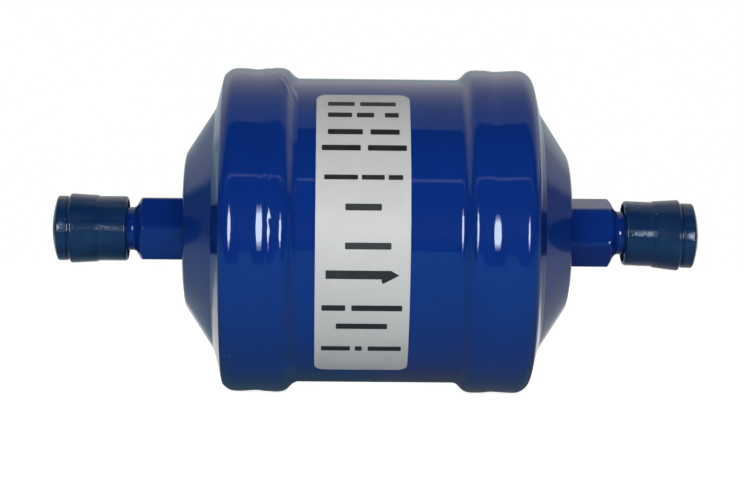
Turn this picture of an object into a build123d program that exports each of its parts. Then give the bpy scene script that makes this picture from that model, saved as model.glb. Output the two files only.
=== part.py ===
from build123d import *
import os
from math import cos, pi, radians, sin, tan

# A liquid-line filter drier: a steel tube closed by two drawn, stepped end caps, with a male
# flare fitting in each cap, a soft seal cap pushed over each thread, and inside it a block of
# drying agent pressed against a filter mat and a perforated plate by a leaf spring.
#
# Millimetres. The liquid flows along +X, from the inlet fitting to the outlet fitting. The
# origin is the middle of the body, on the flow axis. "Reach" is a distance outwards from the
# middle, so that both ends are drawn with the same numbers.

os.makedirs("parts", exist_ok=True)

# ---------------------------------------------------------------- driving dimensions

# Drawn end caps
band_diameter = 62.8        # outside of the skirt, the widest part of the body
cap_wall = 1.8
skirt_rim_reach = 16.5      # where the skirt's rim stands on the tube
shoulder_reach = 29.2       # sharp corner of skirt and shoulder, before it is bent round
shoulder_lean = 14.0        # degrees that the shoulder leans outwards from upright
step_diameter = 47.4        # crease between the shoulder and the cone
cone_slope = 57.0           # degrees between the cone and the flow axis
crown_reach = 37.0          # flat end that carries the fitting
shoulder_inside_bend = 2.3
step_outside_bend = 1.5
crown_inside_bend = 1.7

# Tube
lap_clearance = 0.1         # play between the tube and the skirts that are sleeved over it
tube_wall = 1.6
tube_half_length = 26.0

# Seam welds: each bead fills the corner on the tube and has melted the skirt's outer edge away
weld_toe_length = 2.3       # from the rim to the bead's edge on the tube
melt_length = 3.2           # of the skirt's outside edge, along the flow
melt_depth = 0.9            # of the same edge, along the radius
weld_bulge = 0.8            # of the bead above the straight line between its edges

# Flare fittings: 1/4 in SAE, 45 degrees, 7/16-20 UNF, turned from hexagon bar
hexagon_across_flats = 12.0
hexagon_length = 9.7
hexagon_end_chamfer = 37.5  # degrees between the outer end's cone and the end face
hexagon_base_chamfer = 0.5
hexagon_turns = {"inlet": 30.0, "outlet": 50.0}   # degrees from upright, as each was brazed
neck_diameter = 8.4
neck_length = 1.9
thread_diameter = 11.1
thread_lead_in = 0.8
flare_length = 14.2         # from the hexagon's end face to the nose
flare_angle = 45.0
nose_diameter = 6.4
bore_diameter = 4.8
spigot_diameter = 9.5
spigot_projection = 1.4     # of the spigot inside the end cap
spigot_clearance = 0.05
braze_leg = 1.2

# Seal caps: soft, moulded, pushed over the thread
seal_cap_bore_clearance = 0.1
seal_cap_sleeve_wall = 0.55
seal_cap_ring_height = 0.3  # of the grip ring above the sleeve, at its open end
seal_cap_ring_flare = 0.3   # further height at its closed end
seal_cap_ring_length = 5.5
seal_cap_disc_height = 0.1
seal_cap_disc_length = 2.1
seal_cap_groove_width = 0.4
seal_cap_groove_depth = 0.2  # below the sleeve
seal_cap_crown = 1.0        # bulge of the closed end
seal_cap_mouth_gap = 1.5    # from the hexagon's end face to the mouth
seal_cap_nose_gap = 0.3     # from the nose to the inside of the closed end
seal_cap_end_wall = 1.65    # at the middle of the closed end
seal_cap_lip_chamfer = 0.25

# Label round the front of the tube
label_width = 17.5
label_shift = -3.0          # of its middle, towards the inlet
label_top = 61.1            # degrees above the front
label_bottom = 65.1         # degrees below the front
label_thickness = 0.1
label_corner_radius = 2.0

# Outlet side of the filling: corrugated perforated plate, wire screen, mat
plate_edge_clearance = 0.7  # between the plate's edge and the tube's bore
plate_seat_clearance = 0.05
plate_wall = 0.8
plate_rim_width = 2.2
ridge_count = 2             # rings pressed up towards the inlet
ridge_width = 6.0
ridge_height = 1.6
valley_width = 4.0
slope_width = 1.0           # of each slanted side of a ridge, along the radius
plate_hole_diameter = 3.0
plate_hole_pitch = 10.9     # wished for, round each row
screen_thickness = 0.4
screen_edge_clearance = 0.9
mat_thickness = 3.0
mat_edge_clearance = 0.3

# Block of drying agent, its felt pad and its by-pass ring
core_side_gap = 3.4         # round the block, for the liquid to reach its side
core_edge_chamfer = 1.0
core_bore_diameter = 12.0   # blind, open towards the outlet
core_bore_depth = 30.0
pad_thickness = 2.0
ring_length = 6.0
ring_setback = 2.0          # of the by-pass ring from the block's outlet face
ring_clearance = 0.05       # of the by-pass ring from the block and from the tube

# Inlet side: pressure pan and leaf spring
pan_wall = 0.8
pan_depth = 3.2             # from the pan's floor to its flange, inside
pan_play = 0.3              # round the block's end
pan_guide_clearance = 0.25  # between the flange and the tube
pan_notch_count = 8
pan_notch_diameter = 5.0
spring_wall = 0.8
spring_hub_diameter = 17.0
spring_arm_count = 4
spring_arm_width = 6.0
spring_height = 5.9         # from the pan's floor to the tips, as fitted
spring_tip_inset = 3.9      # of the tips from the tube's bore
spring_tip_clearance = 0.05
spring_arm_sag = 2.2        # of each arm below the straight line from hub to tip

# ---------------------------------------------------------------- sizes that follow

band_radius = band_diameter / 2
tube_radius = band_radius - cap_wall - lap_clearance
tube_bore_radius = tube_radius - tube_wall
step_radius = step_diameter / 2
step_reach = shoulder_reach + (band_radius - step_radius) * tan(radians(shoulder_lean))
crown_edge_radius = step_radius - (crown_reach - step_reach) * tan(radians(cone_slope))
crown_inside_reach = crown_reach - cap_wall
spigot_radius = spigot_diameter / 2
spigot_hole_radius = spigot_radius + spigot_clearance
hexagon_end_reach = crown_reach + hexagon_length
hexagon_corner_radius = hexagon_across_flats / 2 / cos(radians(30))
nose_reach = hexagon_end_reach + flare_length
thread_radius = thread_diameter / 2
thread_start_reach = hexagon_end_reach + neck_length
flare_start_reach = nose_reach - (thread_radius - nose_diameter / 2) / tan(radians(flare_angle))


def shoulder_inside_reach(radius):
    """Reach of the shoulder's inner face at a radius."""
    outside = shoulder_reach + (band_radius - radius) * tan(radians(shoulder_lean))
    return outside - cap_wall / cos(radians(shoulder_lean))


# The plate, the screen and the mat are stacked back from the outlet shoulder, the spring, the
# pan and the pad forwards from the inlet shoulder, and the block fills the length between.
plate_radius = tube_bore_radius - plate_edge_clearance
plate_outlet_x = shoulder_inside_reach(plate_radius) - plate_seat_clearance
plate_inlet_x = plate_outlet_x - plate_wall - ridge_height
screen_inlet_x = plate_inlet_x - screen_thickness
core_outlet_x = screen_inlet_x - mat_thickness
spring_tip_radius = tube_bore_radius - spring_tip_inset
spring_tip_x = spring_tip_clearance - shoulder_inside_reach(spring_tip_radius)
pan_inlet_x = spring_tip_x + spring_height
pad_inlet_x = pan_inlet_x + pan_wall
core_inlet_x = pad_inlet_x + pad_thickness
core_radius = tube_bore_radius - core_side_gap

ends = {"inlet": -1, "outlet": 1}


def profile_plane(side):
    """Half section of one end: local x is the reach, local y is the radius."""
    return Plane(origin=(0, 0, 0), x_dir=(side, 0, 0), z_dir=(0, -side, 0))


def cross_plane(side, reach):
    """Plane across the flow, facing outwards, with local x upright."""
    return Plane(origin=(side * reach, 0, 0), x_dir=(0, 0, 1), z_dir=(side, 0, 0))


# The whole filling is drawn along the flow itself.
flow_plane = profile_plane(1)

# ---------------------------------------------------------------- casing

with BuildPart() as shell_tube:
    with BuildSketch(Plane.YZ):
        Circle(tube_radius)
        Circle(tube_bore_radius, mode=Mode.SUBTRACT)
    extrude(amount=tube_half_length, both=True)

shell_tube.part.label = "shell_tube"
export_step(shell_tube.part, "parts/shell_tube.step")

for end, side in ends.items():
    # One drawn sheet: skirt, shoulder, crease, cone and flat crown, all of one thickness.
    with BuildPart() as end_cap:
        with BuildSketch(profile_plane(side)):
            with BuildLine():
                FilletPolyline(
                    (skirt_rim_reach, band_radius),
                    (shoulder_reach, band_radius),
                    (step_reach, step_radius),
                    (crown_reach, crown_edge_radius),
                    (crown_reach, spigot_hole_radius),
                    radius=(
                        shoulder_inside_bend + cap_wall,
                        step_outside_bend,
                        crown_inside_bend + cap_wall,
                    ),
                )
                offset(amount=cap_wall, side=Side.RIGHT)
            make_face()
        revolve(axis=Axis.X)
        with BuildSketch(profile_plane(side)):
            with BuildLine():
                Polyline(
                    (skirt_rim_reach, band_radius - melt_depth),
                    (skirt_rim_reach + melt_length, band_radius),
                    (skirt_rim_reach, band_radius),
                    close=True,
                )
            make_face()
        revolve(axis=Axis.X, mode=Mode.SUBTRACT)

    end_cap.part.label = f"{end}_end_cap"
    export_step(end_cap.part, f"parts/{end}_end_cap.step")

    # The bead lies on the tube, against the rim and over the melted edge.
    with BuildPart() as seam_weld:
        with BuildSketch(profile_plane(side)):
            with BuildLine():
                Polyline(
                    (skirt_rim_reach - weld_toe_length, tube_radius),
                    (skirt_rim_reach, tube_radius),
                    (skirt_rim_reach, band_radius - melt_depth),
                    (skirt_rim_reach + melt_length, band_radius),
                )
                SagittaArc(
                    (skirt_rim_reach - weld_toe_length, tube_radius),
                    (skirt_rim_reach + melt_length, band_radius),
                    weld_bulge,
                )
            make_face()
        revolve(axis=Axis.X)

    seam_weld.part.label = f"{end}_seam_weld"
    export_step(seam_weld.part, f"parts/{end}_seam_weld.step")

# ---------------------------------------------------------------- flare fittings

for end, side in ends.items():
    with BuildPart() as flare_fitting:
        with BuildSketch(cross_plane(side, crown_reach)):
            RegularPolygon(
                hexagon_across_flats / 2, 6, major_radius=False, rotation=hexagon_turns[end]
            )
        extrude(amount=hexagon_length)
        # Both ends of the hexagon are turned down, the outer one steeply to the neck.
        with BuildSketch(profile_plane(side)):
            with BuildLine():
                end_cone_length = (hexagon_corner_radius - neck_diameter / 2) * tan(
                    radians(hexagon_end_chamfer)
                )
                Polyline(
                    (crown_reach, 0),
                    (crown_reach, hexagon_corner_radius - hexagon_base_chamfer),
                    (crown_reach + hexagon_base_chamfer, hexagon_corner_radius),
                    (hexagon_end_reach - end_cone_length, hexagon_corner_radius),
                    (hexagon_end_reach, neck_diameter / 2),
                    (hexagon_end_reach, 0),
                    close=True,
                )
            make_face()
        revolve(axis=Axis.X, mode=Mode.INTERSECT)
        # Neck, thread and flare cone.
        with BuildSketch(profile_plane(side)):
            with BuildLine():
                Polyline(
                    (hexagon_end_reach, 0),
                    (hexagon_end_reach, neck_diameter / 2),
                    (thread_start_reach, neck_diameter / 2),
                    (thread_start_reach, thread_radius - thread_lead_in),
                    (thread_start_reach + thread_lead_in, thread_radius),
                    (flare_start_reach, thread_radius),
                    (nose_reach, nose_diameter / 2),
                    (nose_reach, 0),
                    close=True,
                )
            make_face()
        revolve(axis=Axis.X)
        # Spigot through the end cap, and the bore.
        with BuildSketch(cross_plane(side, crown_reach)):
            Circle(spigot_radius)
        extrude(amount=-(cap_wall + spigot_projection))
        with BuildSketch(cross_plane(side, nose_reach)):
            Circle(bore_diameter / 2)
        extrude(
            amount=-(nose_reach - crown_inside_reach + spigot_projection), mode=Mode.SUBTRACT
        )

    flare_fitting.part.label = f"{end}_flare_fitting"
    export_step(flare_fitting.part, f"parts/{end}_flare_fitting.step")

    # Fillet of braze between the spigot and the inside of the crown.
    with BuildPart() as braze_ring:
        with BuildSketch(profile_plane(side)):
            with BuildLine():
                Polyline(
                    (crown_inside_reach - braze_leg, spigot_radius),
                    (crown_inside_reach, spigot_radius),
                    (crown_inside_reach, spigot_radius + braze_leg),
                    close=True,
                )
            make_face()
        revolve(axis=Axis.X)

    braze_ring.part.label = f"{end}_braze_ring"
    export_step(braze_ring.part, f"parts/{end}_braze_ring.step")

# ---------------------------------------------------------------- seal caps

for end, side in ends.items():
    bore_radius = thread_radius + seal_cap_bore_clearance
    sleeve_radius = bore_radius + seal_cap_sleeve_wall
    disc_radius = sleeve_radius + seal_cap_disc_height
    mouth_reach = hexagon_end_reach + seal_cap_mouth_gap
    inside_end_reach = nose_reach + seal_cap_nose_gap
    outside_end_reach = inside_end_reach + seal_cap_end_wall
    disc_end_reach = outside_end_reach - seal_cap_crown
    groove_end_reach = disc_end_reach - seal_cap_disc_length
    ring_end_reach = groove_end_reach - seal_cap_groove_width
    ring_start_reach = ring_end_reach - seal_cap_ring_length
    with BuildPart() as seal_cap:
        with BuildSketch(profile_plane(side)):
            with BuildLine():
                Polyline(
                    (outside_end_reach, 0),
                    (inside_end_reach, 0),
                    (inside_end_reach, bore_radius),
                    (mouth_reach, bore_radius),
                    (mouth_reach, sleeve_radius),
                    (ring_start_reach, sleeve_radius),
                    (ring_start_reach, sleeve_radius + seal_cap_ring_height),
                    (
                        ring_end_reach,
                        sleeve_radius + seal_cap_ring_height + seal_cap_ring_flare,
                    ),
                    (ring_end_reach, sleeve_radius - seal_cap_groove_depth),
                    (groove_end_reach, sleeve_radius - seal_cap_groove_depth),
                    (groove_end_reach, disc_radius),
                    (disc_end_reach, disc_radius),
                )
                crown_ball_radius = (disc_radius**2 + seal_cap_crown**2) / (2 * seal_cap_crown)
                RadiusArc(
                    (disc_end_reach, disc_radius), (outside_end_reach, 0), crown_ball_radius
                )
            make_face()
        revolve(axis=Axis.X)
        mouth_edges = seal_cap.edges().group_by(Axis.X)[-1 if side < 0 else 0]
        chamfer(mouth_edges.sort_by(SortBy.RADIUS)[-1], seal_cap_lip_chamfer)

    seal_cap.part.label = f"{end}_seal_cap"
    export_step(seal_cap.part, f"parts/{end}_seal_cap.step")

# ---------------------------------------------------------------- label

with BuildPart() as label:
    # A strip laid on the tube, from its upper edge down round the front.
    top_plane = Plane(
        origin=(0, 0, 0),
        x_dir=(1, 0, 0),
        z_dir=(0, -sin(radians(label_top)), -cos(radians(label_top))),
    )
    with BuildSketch(top_plane):
        with Locations((label_shift, tube_radius + label_thickness / 2)):
            Rectangle(label_width, label_thickness)
    revolve(axis=Axis.X, revolution_arc=label_top + label_bottom)
    corners = label.edges().filter_by(GeomType.LINE).filter_by(
        lambda edge: edge.length < label_thickness * 1.5
    )
    fillet(corners, label_corner_radius)

label.part.label = "label"
export_step(label.part, "parts/label.step")

# ---------------------------------------------------------------- outlet side of the filling

with BuildPart() as perforated_plate:
    # The outlet face of the corrugated sheet, drawn from its rim to the middle, and the radii
    # of the hole rows, one along the middle of each ridge and each valley.
    face_points = [(plate_outlet_x, plate_radius)]
    row_radii = []
    ridge_outer = plate_radius - plate_rim_width - slope_width
    for ridge in range(ridge_count):
        ridge_inner = ridge_outer - ridge_width
        face_points += [
            (plate_outlet_x, ridge_outer + slope_width),
            (plate_outlet_x - ridge_height, ridge_outer),
            (plate_outlet_x - ridge_height, ridge_inner),
            (plate_outlet_x, ridge_inner - slope_width),
        ]
        row_radii.append(ridge_outer - ridge_width / 2)
        if ridge < ridge_count - 1:
            row_radii.append(ridge_inner - slope_width - valley_width / 2)
        ridge_outer = ridge_inner - valley_width - 2 * slope_width
    face_points.append((plate_outlet_x, 0))
    with BuildSketch(flow_plane):
        with BuildLine():
            Polyline(*face_points)
            offset(amount=plate_wall, side=Side.RIGHT, kind=Kind.INTERSECTION)
        make_face()
    revolve(axis=Axis.X)
    with BuildSketch(Plane.YZ.offset(plate_inlet_x)):
        for row_radius in row_radii:
            with PolarLocations(row_radius, round(2 * pi * row_radius / plate_hole_pitch)):
                Circle(plate_hole_diameter / 2)
    extrude(amount=plate_outlet_x - plate_inlet_x, mode=Mode.SUBTRACT)

perforated_plate.part.label = "perforated_plate"
export_step(perforated_plate.part, "parts/perforated_plate.step")

with BuildPart() as outlet_screen:
    with BuildSketch(Plane.YZ.offset(screen_inlet_x)):
        Circle(tube_bore_radius - screen_edge_clearance)
    extrude(amount=screen_thickness)

outlet_screen.part.label = "outlet_screen"
export_step(outlet_screen.part, "parts/outlet_screen.step")

with BuildPart() as filter_mat:
    with BuildSketch(Plane.YZ.offset(core_outlet_x)):
        Circle(tube_bore_radius - mat_edge_clearance)
    extrude(amount=mat_thickness)

filter_mat.part.label = "filter_mat"
export_step(filter_mat.part, "parts/filter_mat.step")

# ---------------------------------------------------------------- drying block

with BuildPart() as desiccant_core:
    # Moulded in one block, with a blind bore that gathers the liquid towards the outlet.
    with BuildSketch(Plane.YZ.offset(core_inlet_x)):
        Circle(core_radius)
    extrude(amount=core_outlet_x - core_inlet_x)
    chamfer(desiccant_core.edges(), core_edge_chamfer)
    with BuildSketch(Plane.YZ.offset(core_outlet_x)):
        Circle(core_bore_diameter / 2)
    extrude(amount=-core_bore_depth, mode=Mode.SUBTRACT)

desiccant_core.part.label = "desiccant_core"
export_step(desiccant_core.part, "parts/desiccant_core.step")

with BuildPart() as bypass_ring:
    # Felt between the block and the tube, so that all the liquid goes through the block.
    with BuildSketch(Plane.YZ.offset(core_outlet_x - ring_setback)):
        Circle(tube_bore_radius - ring_clearance)
        Circle(core_radius + ring_clearance, mode=Mode.SUBTRACT)
    extrude(amount=-ring_length)

bypass_ring.part.label = "bypass_ring"
export_step(bypass_ring.part, "parts/bypass_ring.step")

with BuildPart() as inlet_pad:
    with BuildSketch(Plane.YZ.offset(pad_inlet_x)):
        Circle(core_radius)
    extrude(amount=pad_thickness)

inlet_pad.part.label = "inlet_pad"
export_step(inlet_pad.part, "parts/inlet_pad.step")

# ---------------------------------------------------------------- inlet side of the filling

with BuildPart() as pressure_pan:
    # A pressed pan over the block's end. Its notched flange is guided by the tube, and the
    # liquid passes through the notches to the space round the block.
    pan_inside_radius = core_radius + pan_play
    pan_flange_radius = tube_bore_radius - pan_guide_clearance
    pan_flange_x = pad_inlet_x + pan_depth
    with BuildSketch(flow_plane):
        with BuildLine():
            Polyline(
                (pan_inlet_x, 0),
                (pan_inlet_x, pan_inside_radius + pan_wall),
                (pan_flange_x - pan_wall, pan_inside_radius + pan_wall),
                (pan_flange_x - pan_wall, pan_flange_radius),
                (pan_flange_x, pan_flange_radius),
                (pan_flange_x, pan_inside_radius),
                (pad_inlet_x, pan_inside_radius),
                (pad_inlet_x, 0),
                close=True,
            )
        make_face()
    revolve(axis=Axis.X)
    with BuildSketch(Plane.YZ.offset(pan_flange_x)):
        with PolarLocations(
            pan_inside_radius + pan_wall + pan_notch_diameter / 2, pan_notch_count
        ):
            Circle(pan_notch_diameter / 2)
    extrude(amount=-pan_wall, mode=Mode.SUBTRACT)

pressure_pan.part.label = "pressure_pan"
export_step(pressure_pan.part, "parts/pressure_pan.step")

with BuildPart() as leaf_spring:
    # A hub pressed on the pan, and arms bent back so that their tips bear on the inlet shoulder.
    hub_x = pan_inlet_x - spring_wall
    with BuildSketch(Plane.YZ.offset(hub_x)):
        Circle(spring_hub_diameter / 2)
    extrude(amount=spring_wall)
    for arm in range(spring_arm_count):
        arm_plane = flow_plane.rotated((arm * 360 / spring_arm_count, 0, 0))
        with BuildSketch(arm_plane):
            with BuildLine():
                SagittaArc(
                    (hub_x, spring_hub_diameter / 2 - spring_wall),
                    (spring_tip_x, spring_tip_radius),
                    spring_arm_sag,
                )
                offset(amount=spring_wall, side=Side.RIGHT)
            make_face()
        extrude(amount=spring_arm_width / 2, both=True)

leaf_spring.part.label = "leaf_spring"
export_step(leaf_spring.part, "parts/leaf_spring.step")
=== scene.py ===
import math

import bpy
import numpy as np
from bpy.props import FloatProperty, FloatVectorProperty, IntProperty, PointerProperty
from bpy.types import Operator, Panel, PropertyGroup
from mathutils import Matrix, Vector


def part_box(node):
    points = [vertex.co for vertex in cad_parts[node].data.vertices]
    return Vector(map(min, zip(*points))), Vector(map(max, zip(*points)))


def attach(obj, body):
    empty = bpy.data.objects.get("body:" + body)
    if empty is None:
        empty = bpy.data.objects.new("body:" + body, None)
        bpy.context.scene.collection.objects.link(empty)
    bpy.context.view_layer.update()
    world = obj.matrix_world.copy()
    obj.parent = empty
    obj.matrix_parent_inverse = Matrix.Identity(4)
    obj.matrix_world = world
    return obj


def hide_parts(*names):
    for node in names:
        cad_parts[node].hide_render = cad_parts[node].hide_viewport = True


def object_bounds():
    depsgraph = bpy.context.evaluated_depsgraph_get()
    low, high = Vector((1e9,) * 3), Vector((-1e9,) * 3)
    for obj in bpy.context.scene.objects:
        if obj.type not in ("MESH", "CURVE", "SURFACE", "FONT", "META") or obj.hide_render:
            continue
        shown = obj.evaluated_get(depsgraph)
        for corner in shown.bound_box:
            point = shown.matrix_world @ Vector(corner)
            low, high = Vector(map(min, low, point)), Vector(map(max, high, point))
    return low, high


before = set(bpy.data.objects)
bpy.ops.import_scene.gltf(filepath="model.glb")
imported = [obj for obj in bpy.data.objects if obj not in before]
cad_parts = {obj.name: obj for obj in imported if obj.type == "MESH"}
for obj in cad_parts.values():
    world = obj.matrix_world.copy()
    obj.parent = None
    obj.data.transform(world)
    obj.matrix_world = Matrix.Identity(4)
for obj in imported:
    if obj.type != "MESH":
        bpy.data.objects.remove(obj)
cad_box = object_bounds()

bl_info = {
    "name": "Flare Filter Drier",
    "version": (1, 0, 0),
    "blender": (4, 5, 0),
    "location": "View3D > Sidebar > Filter Drier",
    "description": "Dresses the packed filter drier: casing, welds, fittings, seal caps and label",
    "category": "Object",
}

# Lengths are in metres, and the sizes of the PropertyGroups are written in millimetres.
# X is the flow, Z is up, and the front of the drier faces -Y.
# "Reach" is a distance outwards from the middle of the body, the same for both ends.
# Angles round the flow axis start straight up and grow towards the front.

MM = 0.001
ENDS = {"inlet": -1, "outlet": 1}
ROOT = "drier"

cap_low, cap_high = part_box("outlet_end_cap")
tube_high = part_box("shell_tube")[1]
fitting_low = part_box("outlet_flare_fitting")[0]
seal_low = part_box("outlet_seal_cap")[0]


# ---------------------------------------------------------------- sizes and colours


def length(name, millimetres, description, lowest=0.0):
    return FloatProperty(
        name=name, description=description, default=millimetres * MM, min=lowest * MM,
        subtype="DISTANCE", unit="LENGTH", precision=5,
    )


def turn(name, degrees, description):
    return FloatProperty(
        name=name, description=description, default=math.radians(degrees),
        subtype="ANGLE", unit="ROTATION",
    )


def amount(name, default, description, high=1.0):
    return FloatProperty(name=name, description=description, default=default, min=0.0, max=high)


def colour(name, default, description):
    return FloatVectorProperty(
        name=name, description=description, default=default, size=3, min=0.0, max=1.0,
        subtype="COLOR",
    )


class CasingSizes(PropertyGroup):
    """The tube and the two drawn end caps."""

    band_diameter: length("Band diameter", 62.8, "Outside of the skirts, the widest of the body")
    cap_wall: length("Cap wall", 1.8, "Thickness of the drawn end caps")
    rim_reach: length("Rim reach", round(cap_low.x / MM, 2), "Skirt's rim, on the tube")
    shoulder_reach: length("Shoulder reach", 29.2, "Sharp corner of skirt and shoulder, unbent")
    shoulder_lean: turn("Shoulder lean", 14.0, "How far the shoulder leans outwards from upright")
    step_diameter: length("Step diameter", 47.4, "Crease between the shoulder and the cone")
    cone_slope: turn("Cone slope", 57.0, "Angle between the cone and the flow axis")
    crown_reach: length("Crown reach", round(cap_high.x / MM, 2), "Flat that carries the fitting")
    inlet_bend: length("Inlet shoulder bend", 2.0, "Outside radius of the bend into the shoulder")
    outlet_bend: length("Outlet shoulder bend", 2.9, "Outside radius of the bend into the shoulder")
    step_bend: length("Step bend", 1.5, "Outside radius of the crease")
    crown_bend: length("Crown bend", 3.5, "Outside radius of the bend into the crown")
    band_dip: length("Band dip", 0.20, "Hollow that the drawing leaves round the band")
    tube_diameter: length("Tube diameter", 59.0, "Outside of the tube")
    tube_bore: length("Tube bore", 55.8, "Inside of the tube")
    tube_half_length: length("Tube half length", round(tube_high.x / MM, 2), "To the tube's end")


class WeldSizes(PropertyGroup):
    """The two seam weld beads."""

    inlet_melt: length("Inlet melt length", 3.9, "Of the skirt's outside edge, along the flow")
    outlet_melt: length("Outlet melt length", 2.5, "Of the skirt's outside edge, along the flow")
    melt_depth: length("Melt depth", 1.2, "Of the same edge, along the radius")
    lump_height: length("Lump height", 0.03, "Unevenness of the bead")
    toe_wander: length("Toe wander", 0.10, "How far the inlet bead's edge on the tube wanders")
    lap_height: length("Lap height", 0.16, "Of the ridge where the inlet bead meets its own start")
    lap_angle: turn("Lap angle", 29.0, "Of that ridge, forward of straight up")
    ripple_pitch: length("Ripple pitch", 1.7, "From one weld ripple to the next, round the seam")
    ripple_height: length("Ripple height", 0.004, "Height of the weld ripples")


class FittingSizes(PropertyGroup):
    """The two flare fittings."""

    across_flats: length("Across flats", 12.0, "Hexagon across its flats")
    hexagon_length: length("Hexagon length", 9.7, "Hexagon along the flow")
    edge_rounding: length("Edge rounding", 0.35, "Softening of the painted hexagon's edges")
    end_chamfer: turn("End chamfer", 31.0, "Between the hexagon's outer cone and its end face")
    base_chamfer: length("Base chamfer", 0.5, "At the foot of the hexagon")
    inlet_turn: turn("Inlet turn", 30.0, "How the inlet hexagon was turned as it was brazed")
    outlet_turn: turn("Outlet turn", 50.0, "How the outlet hexagon was turned as it was brazed")
    neck_diameter: length("Neck diameter", 8.4, "Undercut between the hexagon and the thread")
    neck_length: length("Neck length", 1.9, "Undercut along the flow")
    thread_diameter: length("Thread diameter", 11.1, "Outside of the 7/16-20 UNF thread")
    thread_pitch: length("Thread pitch", 1.27, "20 turns to the inch")
    thread_depth: length("Thread depth", 0.68, "From crest to root")
    flare_length: length("Flare length", 14.2, "From the hexagon's end face to the nose")
    nose_diameter: length("Nose diameter", 6.4, "Small end of the 45 degree flare cone")
    bore_diameter: length("Bore diameter", 4.8, "Liquid passage")
    spigot_diameter: length("Spigot diameter", 9.5, "Part brazed through the end cap")
    paint_reach: length("Paint reach", 50.5, "Where the paint ends and bare plated metal begins")


class SealCapSizes(PropertyGroup):
    """The two soft seal caps."""

    bore_diameter: length("Bore", 11.3, "Inside of the cap, over the thread")
    sleeve_diameter: length("Sleeve", 12.6, "Plain sleeve at the open end")
    ring_diameter: length("Ring", 13.0, "Grip ring at its open side")
    ring_flare: length("Ring flare", 0.3, "Further radius of the grip ring at its closed side")
    ring_reach: length("Ring reach", 53.85, "Where the grip ring starts")
    inlet_ring: length("Inlet ring length", 5.5, "Grip ring along the flow")
    outlet_ring: length("Outlet ring length", 5.2, "Grip ring along the flow")
    groove_width: length("Groove width", 0.45, "Between the grip ring and the end disc")
    disc_diameter: length("Disc", 12.6, "End disc")
    disc_reach: length("Disc reach", 61.7, "Outer edge of the end disc")
    crown: length("Crown", 1.1, "Bulge of the closed end")
    mouth_reach: length("Mouth reach", round(seal_low.x / MM, 2), "Open end")
    inside_reach: length("Inside reach", 61.2, "Inside of the closed end")
    droop: length("Droop", 0.48, "How far the outlet cap's closed end hangs")


class LabelSizes(PropertyGroup):
    """The label round the front of the tube."""

    width: length("Width", 17.5, "Along the flow")
    middle: length("Middle", -3.0, "Middle of the label along the flow", lowest=-20.0)
    top: turn("Top", 59.3, "Upper edge, above the front")
    bottom: turn("Bottom", 63.3, "Lower edge, below the front")
    thickness: length("Thickness", 0.1, "Of the film")
    corner: length("Corner", 2.0, "Corner radius")
    print_height: length("Print height", 0.015, "Height of the print above the film")


class Finishes(PropertyGroup):
    """Colours and finishes."""

    paint: colour("Paint", (0.0026, 0.0215, 0.1600), "Deep blue gloss paint")
    paint_roughness: amount("Paint roughness", 0.05, "Of the gloss paint")
    cap_plastic: colour("Cap plastic", (0.0025, 0.0160, 0.0640), "Soft navy plastic of the caps")
    cap_scuff: colour("Cap scuff", (0.0075, 0.0270, 0.0760), "Paler, worn navy plastic")
    label_film: colour("Label film", (0.4300, 0.4350, 0.4280), "Pale satin film")
    label_ink: colour("Label ink", (0.0090, 0.0085, 0.0080), "Grey black print")
    plating: colour("Plating", (0.6200, 0.5700, 0.4300), "Zinc plating on the threads")
    steel: colour("Sheet steel", (0.5000, 0.5100, 0.5300), "Pressed plate and pan")
    spring: colour("Spring steel", (0.3500, 0.3600, 0.3800), "Leaf spring")
    wire: colour("Wire", (0.4500, 0.4600, 0.4800), "Woven screen")
    felt: colour("Felt", (0.7500, 0.7200, 0.6400), "Pad and by-pass ring")
    polyester: colour("Polyester", (0.8200, 0.8200, 0.8100), "Filter mat")
    desiccant: colour("Drying agent", (0.7800, 0.7200, 0.6200), "Moulded block")
    braze: colour("Braze", (0.6200, 0.4200, 0.2000), "Brazing brass")


class StudioSizes(PropertyGroup):
    """Camera, floor and lamps."""

    camera_distance: length("Camera distance", 450.0, "From the flow axis")
    camera_turn: turn("Camera turn", 1.2, "How far the camera stands towards the inlet end")
    frame_width: length("Frame width", 145.23, "Width of the view at the flow axis")
    camera_side: length("Camera side", -0.74, "Towards the outlet", lowest=-50.0)
    camera_z: length("Camera height", -3.67, "Above the flow axis", lowest=-50.0)
    roll: turn("Roll", 0.52, "Of the camera, so that the outlet hangs a little")
    ambient: amount("Ambient", 0.21, "Even light from all round", 2.0)
    key: amount("Key lamp", 3.9, "Soft lamp in front, in watts", 50.0)
    bounce: amount("Bounce lamp", 1.7, "Soft lamp low in front, in watts", 50.0)
    floor_gap: length("Floor gap", 0.05, "Between the drier and the floor")
    segments: IntProperty(
        name="Segments", description="Facets round the body", default=320, min=64, max=512
    )


# ---------------------------------------------------------------- mesh tools


def bent_line(points, bends, steps=10):
    """Points along straight runs whose corners are bent to these radii."""
    line = [Vector(points[0])]
    for before, corner, after, radius in zip(points, points[1:], points[2:], bends):
        corner = Vector(corner)
        to_before = (Vector(before) - corner).normalized()
        to_after = (Vector(after) - corner).normalized()
        if radius <= 0:
            line.append(corner)
            continue
        half = to_before.angle(to_after) / 2
        centre = corner + (to_before + to_after).normalized() * radius / math.sin(half)
        start = corner + to_before * radius / math.tan(half) - centre
        end = corner + to_after * radius / math.tan(half) - centre
        sweep = math.copysign(math.pi - 2 * half, start.x * end.y - start.y * end.x)
        for k in range(steps + 1):
            c, s = math.cos(sweep * k / steps), math.sin(sweep * k / steps)
            line.append(centre + Vector((start.x * c - start.y * s, start.x * s + start.y * c)))
    line.append(Vector(points[-1]))
    return line


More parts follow.
